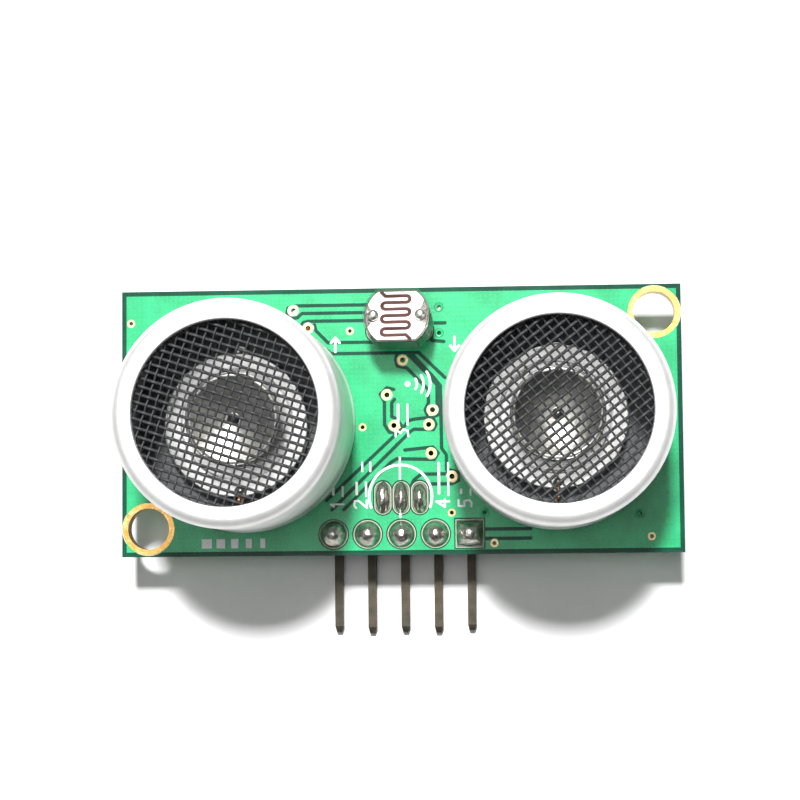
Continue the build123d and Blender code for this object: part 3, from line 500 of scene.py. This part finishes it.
def glazed_block(name, glaze, side, turn_z):
    """A small ceramic block: one colour on the face away from the board, another on its sides."""
    paint = Paint(name, 0.4)
    grain = paint.noise(10, 5)
    face = paint.math("LESS_THAN", paint.axis("Z"), turn_z)
    lit = tuple(min(1, c * 1.5 + 0.02) for c in glaze)
    mottled = paint.ramp(grain, [(0.3, glaze), (0.8, lit)])
    body = paint.ramp(grain, [(0.3, side), (0.8, tuple(c * 0.85 for c in side))])
    paint.colour(paint.mix(face, body, mottled))
    paint.rough(grain, 0.3, 0.5)
    paint.bump(grain, 0.006)
    return paint.material


def floor_paper():
    """Plain pale card."""
    paint = Paint("floor_paper", 0.8)
    grain = paint.noise(0.6, 6, 0.6)
    paint.colour(paint.ramp(grain, [(0.3, (0.9, 0.9, 0.9)), (0.7, (0.93, 0.93, 0.93))]))
    return paint.material


MASK_BRIGHT = solder_mask("mask_over_copper", (0.01, 0.37, 0.135), (0.02, 0.54, 0.21), 0.12, 0.32)
MASK_DARK = solder_mask("mask_over_laminate", (0.003, 0.05, 0.028), (0.006, 0.085, 0.048), 0.3, 0.12)
GOLD = gold()
VIA_GOLD = metal("via_plate", (0.3, 0.22, 0.1), (0.6, 0.5, 0.3), 0.35)
COPPER = metal("bare_copper", (0.55, 0.25, 0.12), (0.85, 0.5, 0.3), 0.35)
LAMINATE = laminate()
INK = ink()
CAN = can_outside()
# Painted shade: the can's inside faces get their own darker grey, set for how the unlit walls look.
CAN_INSIDE_SHADE = plastic("can_inside_painted_shade", (0.42, 0.43, 0.44), (0.55, 0.56, 0.57), 0.6)
WIRE = wire_metal()
BASE = plastic("transducer_base", (0.17, 0.175, 0.18), (0.24, 0.245, 0.25), 0.6)
SILICONE = plastic("silicone", (0.5, 0.5, 0.47), (0.7, 0.7, 0.66), 0.45)
SOLDER = solder()
# Painted shade: the tinned pads are coloured near black, standing for the dark ring round each joint.
SHADED_PAD_METAL = metal("tinned_pad_painted_shade", (0.06, 0.065, 0.055), (0.16, 0.165, 0.15), 0.45, 4.0)
TINNED = metal("tinned_wire", (0.45, 0.44, 0.41), (0.78, 0.77, 0.73), 0.28, 3.0)
PIN = metal("pin_metal", (0.03, 0.025, 0.016), (0.09, 0.075, 0.05), 0.5, 1.1, 0.004, 0.5)
LEAD_WIRE = metal("lead_wire", (0.5, 0.22, 0.1), (0.85, 0.5, 0.26), 0.3, 4.0)
PIEZO = plastic("piezo_ceramic", (0.6, 0.56, 0.48), (0.78, 0.75, 0.68), 0.4)
CERAMIC = plastic("cell_ceramic", (0.03, 0.013, 0.009), (0.07, 0.03, 0.02), 0.35)
TRACK = cell_track()
ELECTRODE = cell_electrode()
RESIN = clear_resin()
MOULDING = plastic("header_moulding", (0.008, 0.008, 0.008), (0.022, 0.022, 0.022), 0.5)
CHIP = plastic("chip_moulding", (0.012, 0.012, 0.013), (0.035, 0.035, 0.036), 0.55, 4.0, 0.01)
LID = metal("crystal_lid", (0.5, 0.5, 0.49), (0.78, 0.78, 0.76), 0.3, 1.2)
END_CAP = metal("end_cap", (0.5, 0.5, 0.49), (0.8, 0.79, 0.77), 0.3, 5.0)
RESISTOR_TURN = high_mm("resistor_bodies")[2] - 0.4
RESISTOR = glazed_block("resistor_block", (0.012, 0.012, 0.014), (0.75, 0.74, 0.7), RESISTOR_TURN)
CAPACITOR_TURN = high_mm("capacitor_bodies")[2] - 0.7
CAPACITOR = glazed_block("capacitor_block", (0.34, 0.22, 0.12), (0.4, 0.27, 0.16), CAPACITOR_TURN)

NODE_PAINT = {
    "board_laminate": LAMINATE,
    "front_copper": COPPER,
    "rear_copper": GOLD,
    "front_legend": INK,
    "rear_legend": INK,
    "component_pads": SHADED_PAD_METAL,
    "mounting_hole_plating": GOLD,
    "via_barrels": VIA_GOLD,
    "header_strip": MOULDING,
    "light_sensor_ceramic": CERAMIC,
    "light_sensor_electrodes": ELECTRODE,
    "light_sensor_track": TRACK,
    "light_sensor_coat": RESIN,
    "light_sensor_leads": TINNED,
    "transistor_bodies": CHIP,
    "transistor_leads": TINNED,
    "crystal": LID,
    "resistor_bodies": RESISTOR,
    "resistor_ends": END_CAP,
    "capacitor_bodies": CAPACITOR,
    "capacitor_ends": END_CAP,
}
for part in ("temperature_sensor", "controller", "driver", "amplifier"):
    NODE_PAINT[f"{part}_body"] = CHIP
    NODE_PAINT[f"{part}_leads"] = TINNED
for index in range(1, 6):
    NODE_PAINT[f"header_pin_{index}"] = PIN
for side in SIDES:
    NODE_PAINT[f"{side}_base"] = BASE
    NODE_PAINT[f"{side}_terminals"] = TINNED
    NODE_PAINT[f"{side}_damper"] = SILICONE
    NODE_PAINT[f"{side}_piezo"] = PIEZO
    NODE_PAINT[f"{side}_lead_wires"] = LEAD_WIRE
for node, material in NODE_PAINT.items():
    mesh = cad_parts[node].data
    mesh.materials.clear()
    mesh.materials.append(material)


# ---- Solder mask: raised over the copper, sunk over the bare laminate ----
MASK_DROP = 0.03
MASK_SKIRT = MASK_DROP * 1.05
MASK_UNDER = 0.045
LAND_LIMIT = 2.3
CORNER_X = 19.5
TENTED_VIAS = [(2.95, 8.5), (2.95, 6.55), (17.7, -7.1), (6.2, -6.9)]
TENT_PROFILE = [(0.14, -0.02), (0.34, -0.02), (0.37, -0.01), (0.34, 0.0), (0.17, 0.0)]


def land_sized(low, high):
    """Whether a piece of copper is no larger than a component's land."""
    return high[0] - low[0] <= LAND_LIMIT and high[1] - low[1] <= LAND_LIMIT


def moved_copy(node, name, material, height_of, with_lands=True):
    """A copy of a node's mesh with each point's z passed through a formula, in millimetres."""
    bm = welded(node)
    if not with_lands:
        for group in loose_groups(bm):
            # Patches at the board's corners stay. Only the group's first point is tested against CORNER_X.
            if land_sized(*corners_of(group)) and abs(group[0].co.x) / MM <= CORNER_X:
                bmesh.ops.delete(bm, geom=group, context="VERTS")
    for vert in bm.verts:
        vert.co.z = height_of(vert.co.z / MM) * MM
    mesh = bpy.data.meshes.new(name)
    bm.to_mesh(mesh)
    bm.free()
    mesh.materials.append(material)
    obj = bpy.data.objects.new(name, mesh)
    scene.collection.objects.link(obj)
    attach(obj, "root")
    return obj


def build_mask(side, outward, outermost):
    """Lacquer of one face of the board; outermost picks a node's height on that side."""
    face = outermost(f"{side}_solder_mask")[2]
    copper_face = outermost(f"{side}_copper")[2]

    def raised_height(z):
        return face if abs(z - copper_face) < 0.01 else face - outward * MASK_SKIRT

    def sunk_height(z):
        if abs(z - face) < 0.005:
            return face - outward * MASK_DROP
        return face - outward * MASK_UNDER if abs(z - copper_face) < 0.005 else z

    over_copper, over_laminate = f"{side}_mask_over_copper", f"{side}_mask_over_laminate"
    raised = moved_copy(f"{side}_copper", over_copper, MASK_BRIGHT, raised_height, with_lands=False)
    sunk = moved_copy(f"{side}_solder_mask", over_laminate, MASK_DARK, sunk_height)
    for piece in (raised, sunk):
        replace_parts(piece, f"{side}_solder_mask")


build_mask("front", 1, high_mm)
build_mask("rear", -1, low_mm)
tents = [ring_lathe(TENT_PROFILE, at, 32) for at in TENTED_VIAS]
fix_normals(add_piece("via_tents", *joined(tents), MASK_BRIGHT, "solder_mask"))


# ---- Transducers ----
CAN_R = 8.1
CAN_INNER_R = 7.5
CAN_MOUTH_R = 6.55
CAN_LIP = 0.55
CAN_SHOULDER = 0.8
CAN_EDGE = 0.12
FOOT_RISE = 0.8
SCREEN_REACH = 7.42
SCREEN_SINK = 0.07
RIM_OUTER_R = 7.46
RIM_INNER_R = 7.1
RIM_BELOW = 0.14
RIM_ABOVE = 0.18
DISC_ROUND = 0.07
GROOVE_DEPTH = 0.02
WEAVE_PITCHES = (0.57, 0.61)
WEAVE_WIRES = (0.115, 0.075)
WEAVE_LIFT = 0.1
WEAVE_SIDES = 6
WEAVE_STEP = 0.09
WEAVE_TURNS = {"transmitter": -18.0, "receiver": 38.0}


def can_profile(bottom, top):
    """Outside of the can from its foot up, over the rounded shoulder, then down its inside."""
    wall = top - bottom - FOOT_RISE - 2 * CAN_SHOULDER
    inset = CAN_EDGE * 0.6
    lip = top - CAN_LIP
    loop = [(CAN_R + 0.1, bottom), (CAN_R + 0.15, bottom + 0.1), (CAN_R + 0.15, bottom + 0.32)]
    loop += [(CAN_R + 0.08, bottom + 0.42), (CAN_R, bottom + 0.5), (CAN_R, bottom + FOOT_RISE)]
    loop += [(CAN_R, bottom + FOOT_RISE + wall * k / 8) for k in range(1, 9)]
    loop += corner((CAN_R - CAN_SHOULDER, top - CAN_SHOULDER), CAN_SHOULDER, 0, 90, 14)
    loop += [(CAN_MOUTH_R + 0.4, top)]
    loop += corner((CAN_MOUTH_R + CAN_EDGE, top - CAN_EDGE), CAN_EDGE, 90, 180, 5)
    loop += [(CAN_MOUTH_R, lip + CAN_EDGE)]
    loop += corner((CAN_MOUTH_R + inset, lip + inset), inset, 180, 270, 3)
    loop += [(CAN_INNER_R, lip), (CAN_INNER_R, bottom)]
    return loop


def build_can(side):
    """Smooth drawn can; the faces inside it take their own darker grey, painted shade for the unlit inside
    of the can.
    """
    node = f"{side}_can"
    x = centre_mm(node)[0]
    top = high_mm(node)[2]
    verts, faces = ring_lathe(can_profile(low_mm(node)[2], top), (x, 0.0))
    obj = add_piece(node + "_drawn", verts, faces, CAN, "can_metal")
    fix_normals(obj)
    # The inside faces take the painted-shade grey.
    obj.data.materials.append(CAN_INSIDE_SHADE)
    for face in obj.data.polygons:
        radius = math.hypot(face.center.x / MM - x, face.center.y / MM)
        if radius < CAN_INNER_R + 0.02 and face.center.z / MM < top - 0.5:
            face.material_index = 1
    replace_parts(obj, node)


def weave_wire(centre, angle, offset, pitch, phase, wire_r):
    """One wire of the woven screen: a thin tube that rises and falls over the crossing wires."""
    x, y, middle = centre
    along = (math.cos(angle), math.sin(angle))
    across = (-along[1], along[0])
    half = math.sqrt(SCREEN_REACH * SCREEN_REACH - offset * offset)
    count = max(int(2 * half / WEAVE_STEP), 2)
    verts, faces = [], []
    for step in range(count + 1):
        t = -half + 2 * half * step / count
        lift = WEAVE_LIFT * math.cos(math.pi * t / pitch + phase)
        for k in range(WEAVE_SIDES):
            turn_k = 2 * math.pi * k / WEAVE_SIDES
            aside = offset + wire_r * math.cos(turn_k)
            z = middle + lift + wire_r * math.sin(turn_k)
            verts.append((x + along[0] * t + across[0] * aside, y + along[1] * t + across[1] * aside, z))
    for step in range(count):
        for k in range(WEAVE_SIDES):
            n = (k + 1) % WEAVE_SIDES
            a, b = step * WEAVE_SIDES, (step + 1) * WEAVE_SIDES
            faces.append((a + k, a + n, b + n, b + k))
    faces.append(tuple(reversed(range(WEAVE_SIDES))))
    faces.append(tuple(count * WEAVE_SIDES + k for k in range(WEAVE_SIDES)))
    return verts, faces


def build_screen(side):
    """Plain-woven wire cloth that fills the can's mouth, with a thin rim ring under the lip."""
    node = f"{side}_screen"
    x = centre_mm(node)[0]
    middle = centre_mm(node)[2] - SCREEN_SINK
    wires = []
    for family, (pitch, crossing) in enumerate((WEAVE_PITCHES, WEAVE_PITCHES[::-1])):
        angle = math.radians(WEAVE_TURNS[side]) + family * math.pi / 2
        count = int(SCREEN_REACH / pitch)
        for index in range(-count, count + 1):
            phase = math.pi * (index + family)
            offset = index * pitch
            wires.append(weave_wire((x, 0.0, middle), angle, offset, crossing, phase, WEAVE_WIRES[family]))
    rim_loop = [(RIM_OUTER_R, middle - RIM_BELOW), (RIM_OUTER_R, middle + RIM_ABOVE)]
    rim_loop += [(RIM_INNER_R, middle + RIM_ABOVE), (RIM_INNER_R, middle - RIM_BELOW)]
    rim = ring_lathe(rim_loop, (x, 0.0), 96)
    obj = add_piece(f"{side}_woven_screen", *joined([*wires, rim]), WIRE, "screen_wire")
    fix_normals(obj)
    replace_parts(obj, node)


def build_disc(side):
    """Turned diaphragm disc with a rounded edge and a shallow groove."""
    node = f"{side}_diaphragm"
    x, y, _ = centre_mm(node)
    low, high = low_mm(node)[2], high_mm(node)[2]
    reach = (high_mm(node)[0] - low_mm(node)[0]) / 2
    groove = high - GROOVE_DEPTH
    profile = [(0, low), (reach - 0.06, low)]
    profile += corner((reach - DISC_ROUND, low + DISC_ROUND), DISC_ROUND, -90, 0, 3)
    profile += corner((reach - DISC_ROUND, high - DISC_ROUND), DISC_ROUND, 0, 90, 4)
    profile += [(reach - 0.12, high), (4.26, high), (4.2, high), (4.12, groove), (4.05, groove)]
    profile += [(3.98, high), (3.92, high), (1.2, high), (0, high)]
    verts, faces = lathe(profile, (x, y), 160)
    obj = add_piece(f"{side}_diaphragm_disc", verts, faces, DISCS[side], "disc_metal")
    fix_normals(obj)
    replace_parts(obj, node)


def build_cone(side):
    """Spun horn: a small foot, a flaring bowl, a rolled rim and a rivet head."""
    node = f"{side}_cone"
    x, y, _ = centre_mm(node)
    low, high = low_mm(node)[2], high_mm(node)[2]
    reach = (high_mm(node)[0] - low_mm(node)[0]) / 2
    well_r, well_z, wall_h = 0.5, high - 0.66, 0.2
    mouth_r, mouth_z = reach - 0.2, high - 0.03
    outside = [(0.9, low), (0.98, low + 0.5), (1.3, well_z - 0.3)]
    inside = []
    for k in range(15):
        s = k / 14
        radius = well_r + (mouth_r - well_r) * s
        inside.append((radius, well_z + (mouth_z - well_z) * s ** CONE_CURVES[side]))
        if radius > 1.35:
            outside.append((radius + 0.02, inside[-1][1] - wall_h))
    rolled = corner((reach - 0.1, high - 0.1), 0.1, -80, 150, 10)
    rivet = corner((0.0, well_z - 0.1), 0.42, 12, 85, 7)
    profile = [(0, low)] + outside + rolled + inside[::-1] + rivet + [(0, well_z + 0.33)]
    verts, faces = lathe(profile, (x, y), 160)
    obj = add_piece(f"{side}_spun_cone", verts, faces, CONES[side], "cone_metal")
    fix_normals(obj)
    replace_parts(obj, node)


def build_wire_solder(side):
    """Small uneven bead where the lead wire meets the disc."""
    node = f"{side}_wire_solder"
    x, y, _ = centre_mm(node)
    low, high = low_mm(node)[2], high_mm(node)[2]
    height = high - low
    profile = [(0, low), (0.4, low), (0.41, low + height * 0.15), (0.36, low + height * 0.45)]
    profile += [(0.27, low + height * 0.72), (0.14, low + height * 0.9), (0, high - 0.01)]
    verts, faces = lathe(profile, (x, y), 40, 0.25, x, (1.0, 0.75))
    obj = add_piece(f"{side}_wire_solder_bead", verts, faces, SOLDER, "solder")
    fix_normals(obj)
    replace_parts(obj, node)


DISC_TONES = ((0.74, 0.73, 0.7), (0.96, 0.95, 0.92))
CONE_TONES = ((0.26, 0.255, 0.23), (0.42, 0.41, 0.37))
CONE_CURVES = {"transmitter": 1.08, "receiver": 1.7}
DISCS, CONES = {}, {}
for side in SIDES:
    axis_xy = centre_mm(f"{side}_cone")[:2]
    DISCS[side] = turned_metal(f"{side}_disc_metal", *DISC_TONES, 0.2, axis_xy, 2.2, 0.002, 0.6)
    CONES[side] = turned_metal(f"{side}_cone_metal", *CONE_TONES, 0.31, axis_xy, 1.6, 0.0015)
    build_can(side)
    build_screen(side)
    build_disc(side)
    build_cone(side)
    build_wire_solder(side)


# ---- Solder joints ----
JOINT_STEPS = 14
JOINT_LIP = 0.04
DOME_POWER = 2.4
HEADER_JOINT_R = 0.96
WIRE_HEAD_R = 0.42
LAND_SHARE = 0.94


def solder_joint(x, y, base, radius, height, outward, seed, squash=(1.0, 1.0), square=False, wobble=0.09):
    """A wetted joint: a full dome that steepens towards a slightly uneven foot, round or square."""
    rows = [(radius, base)]
    for k in range(JOINT_STEPS + 1):
        reach = 1 - k / JOINT_STEPS
        rise = JOINT_LIP + (1 - JOINT_LIP) * (1 - reach ** DOME_POWER)
        rows.append((max(radius * 0.98 * reach, 0.004), base + outward * height * rise))
    verts, faces = lathe([(0, base), *rows, (0, base + outward * height)], (x, y), 56, wobble, seed, squash)
    if square:
        for index, (vx, vy, vz) in enumerate(verts):
            dx, dy = vx - x, vy - y
            far = math.hypot(dx, dy)
            if far > 0.01:
                side_on = max(abs(dx), abs(dy)) / far
                blend = min(far / radius, 1) ** 2
                grow = 1 + (1 / side_on - 1) * 0.9 * blend
                verts[index] = (x + dx * grow, y + dy * grow, vz)
    return verts, faces


def build_header_solder():
    """Five joints over the front ends of the header pins."""
    boxes = islands("header_solder")
    joints = []
    for index, (low, high) in enumerate(boxes):
        x, y = (low[0] + high[0]) / 2, (low[1] + high[1]) / 2
        height = (high[2] - low[2]) * (0.97 - 0.05 * (index % 3))
        last = index == len(boxes) - 1
        seed = 3.1 * index
        joints.append(solder_joint(x, y, low[2], HEADER_JOINT_R, height * 0.85, 1, seed, square=last))
    obj = add_piece("header_solder_joints", *joined(joints), SOLDER, "solder")
    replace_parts(fix_normals(obj), "header_solder")


def build_rear_solder():
    """Joints round the transducer terminals and the light sensor's wires, under the board."""
    joints = []
    for index, (low, high) in enumerate(islands("rear_solder")):
        x, y = (low[0] + high[0]) / 2, (low[1] + high[1]) / 2
        radius = (high[0] - low[0]) / 2
        joints.append(solder_joint(x, y, high[2], radius, high[2] - low[2] + 0.2, -1, 2.3 * index))
    obj = add_piece("rear_solder_joints", *joined(joints), SOLDER, "solder")
    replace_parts(fix_normals(obj), "rear_solder")


def build_sensor_solder():
    """Three long low joints on the oval pads."""
    joints = []
    for index, (low, high) in enumerate(islands("temperature_sensor_solder")):
        x, y = (low[0] + high[0]) / 2, (low[1] + high[1]) / 2
        radius = (high[0] - low[0]) / 2
        stretch = (high[1] - low[1]) / (high[0] - low[0])
        height = 0.5 + 0.12 * index
        seed = 5.7 * index
        joints.append(solder_joint(x, y, low[2], radius, height, 1, seed, (1.0, stretch), wobble=0.16))
    obj = add_piece("temperature_sensor_joints", *joined(joints), SOLDER, "solder")
    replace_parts(fix_normals(obj), "temperature_sensor_solder")


def build_land_solder():
    """A thin wetted fillet on every rear land, round the feet and end caps."""
    fillets = []
    for index, (low, high) in enumerate(islands("rear_copper")):
        if not land_sized(low, high) or abs(low[0]) > CORNER_X:
            continue
        size = ((high[0] - low[0]) * LAND_SHARE, (high[1] - low[1]) * LAND_SHARE)
        x, y, face = (low[0] + high[0]) / 2, (low[1] + high[1]) / 2, low[2]
        profile = [(0, face), (0.5, face), (0.49, face - 0.03), (0.42, face - 0.09)]
        profile += [(0.3, face - 0.13), (0, face - 0.15)]
        fillets.append(lathe(profile, (x, y), 20, 0.12, 1.7 * index, size))
    obj = add_piece("rear_land_fillets", *joined(fillets), SOLDER, "solder")
    fix_normals(obj)


def build_cell_wire_heads():
    """Domed wire ends on the face of the light sensor."""
    domes = []
    for low, high in islands("light_sensor_leads"):
        x = low[0] + WIRE_HEAD_R if low[0] < 0 else high[0] - WIRE_HEAD_R
        y, top = high[1] - WIRE_HEAD_R, high[2]
        profile = [(0, top - 0.14), (WIRE_HEAD_R, top - 0.14), (WIRE_HEAD_R * 0.98, top - 0.04)]
        profile += [(WIRE_HEAD_R * 0.85, top + 0.05), (WIRE_HEAD_R * 0.6, top + 0.11)]
        profile += [(WIRE_HEAD_R * 0.3, top + 0.14), (0, top + 0.15)]
        domes.append(lathe(profile, (x, y), 40))
    obj = add_piece("light_sensor_wire_heads", *joined(domes), TINNED, "tinned_wire")
    fix_normals(obj)


build_header_solder()
build_rear_solder()
build_sensor_solder()
build_land_solder()
build_cell_wire_heads()

# ---- Floor, light and world ----
FLOOR_Z = CAD_BOX[0][2]
FLOOR_HALF = 0.6
WORLD_STRENGTH = 0.06
floor_mesh = bpy.data.meshes.new("floor")
floor_corners = [(-1, -1), (1, -1), (1, 1), (-1, 1)]
floor_verts = [(x * FLOOR_HALF, y * FLOOR_HALF, FLOOR_Z) for x, y in floor_corners]
floor_mesh.from_pydata(floor_verts, [], [(0, 1, 2, 3)])
floor_mesh.materials.append(floor_paper())
floor = bpy.data.objects.new("floor", floor_mesh)
scene.collection.objects.link(floor)


def area_light(name, place, size, power):
    """A square soft light aimed at the origin; place and size in metres."""
    data = bpy.data.lights.new(name, "AREA")
    data.size = size
    data.energy = power
    lamp = bpy.data.objects.new(name, data)
    lamp.location = place
    lamp.rotation_mode = "QUATERNION"
    lamp.rotation_quaternion = (-Vector(place)).to_track_quat("-Z", "Y")
    scene.collection.objects.link(lamp)


area_light("key", (-0.03, 0.42, 0.9), 0.1, 15.0)
area_light("top", (-0.025, 0.025, 0.4), 0.17, 0.28)
area_light("fill", (-0.3, -0.1, 0.6), 0.5, 0.32)

world = bpy.data.worlds.new("studio")
world.use_nodes = True
world.node_tree.nodes["Background"].inputs["Color"].default_value = (1, 1, 1, 1)
world.node_tree.nodes["Background"].inputs["Strength"].default_value = WORLD_STRENGTH
scene.world = world
scene.view_settings.view_transform = "Standard"
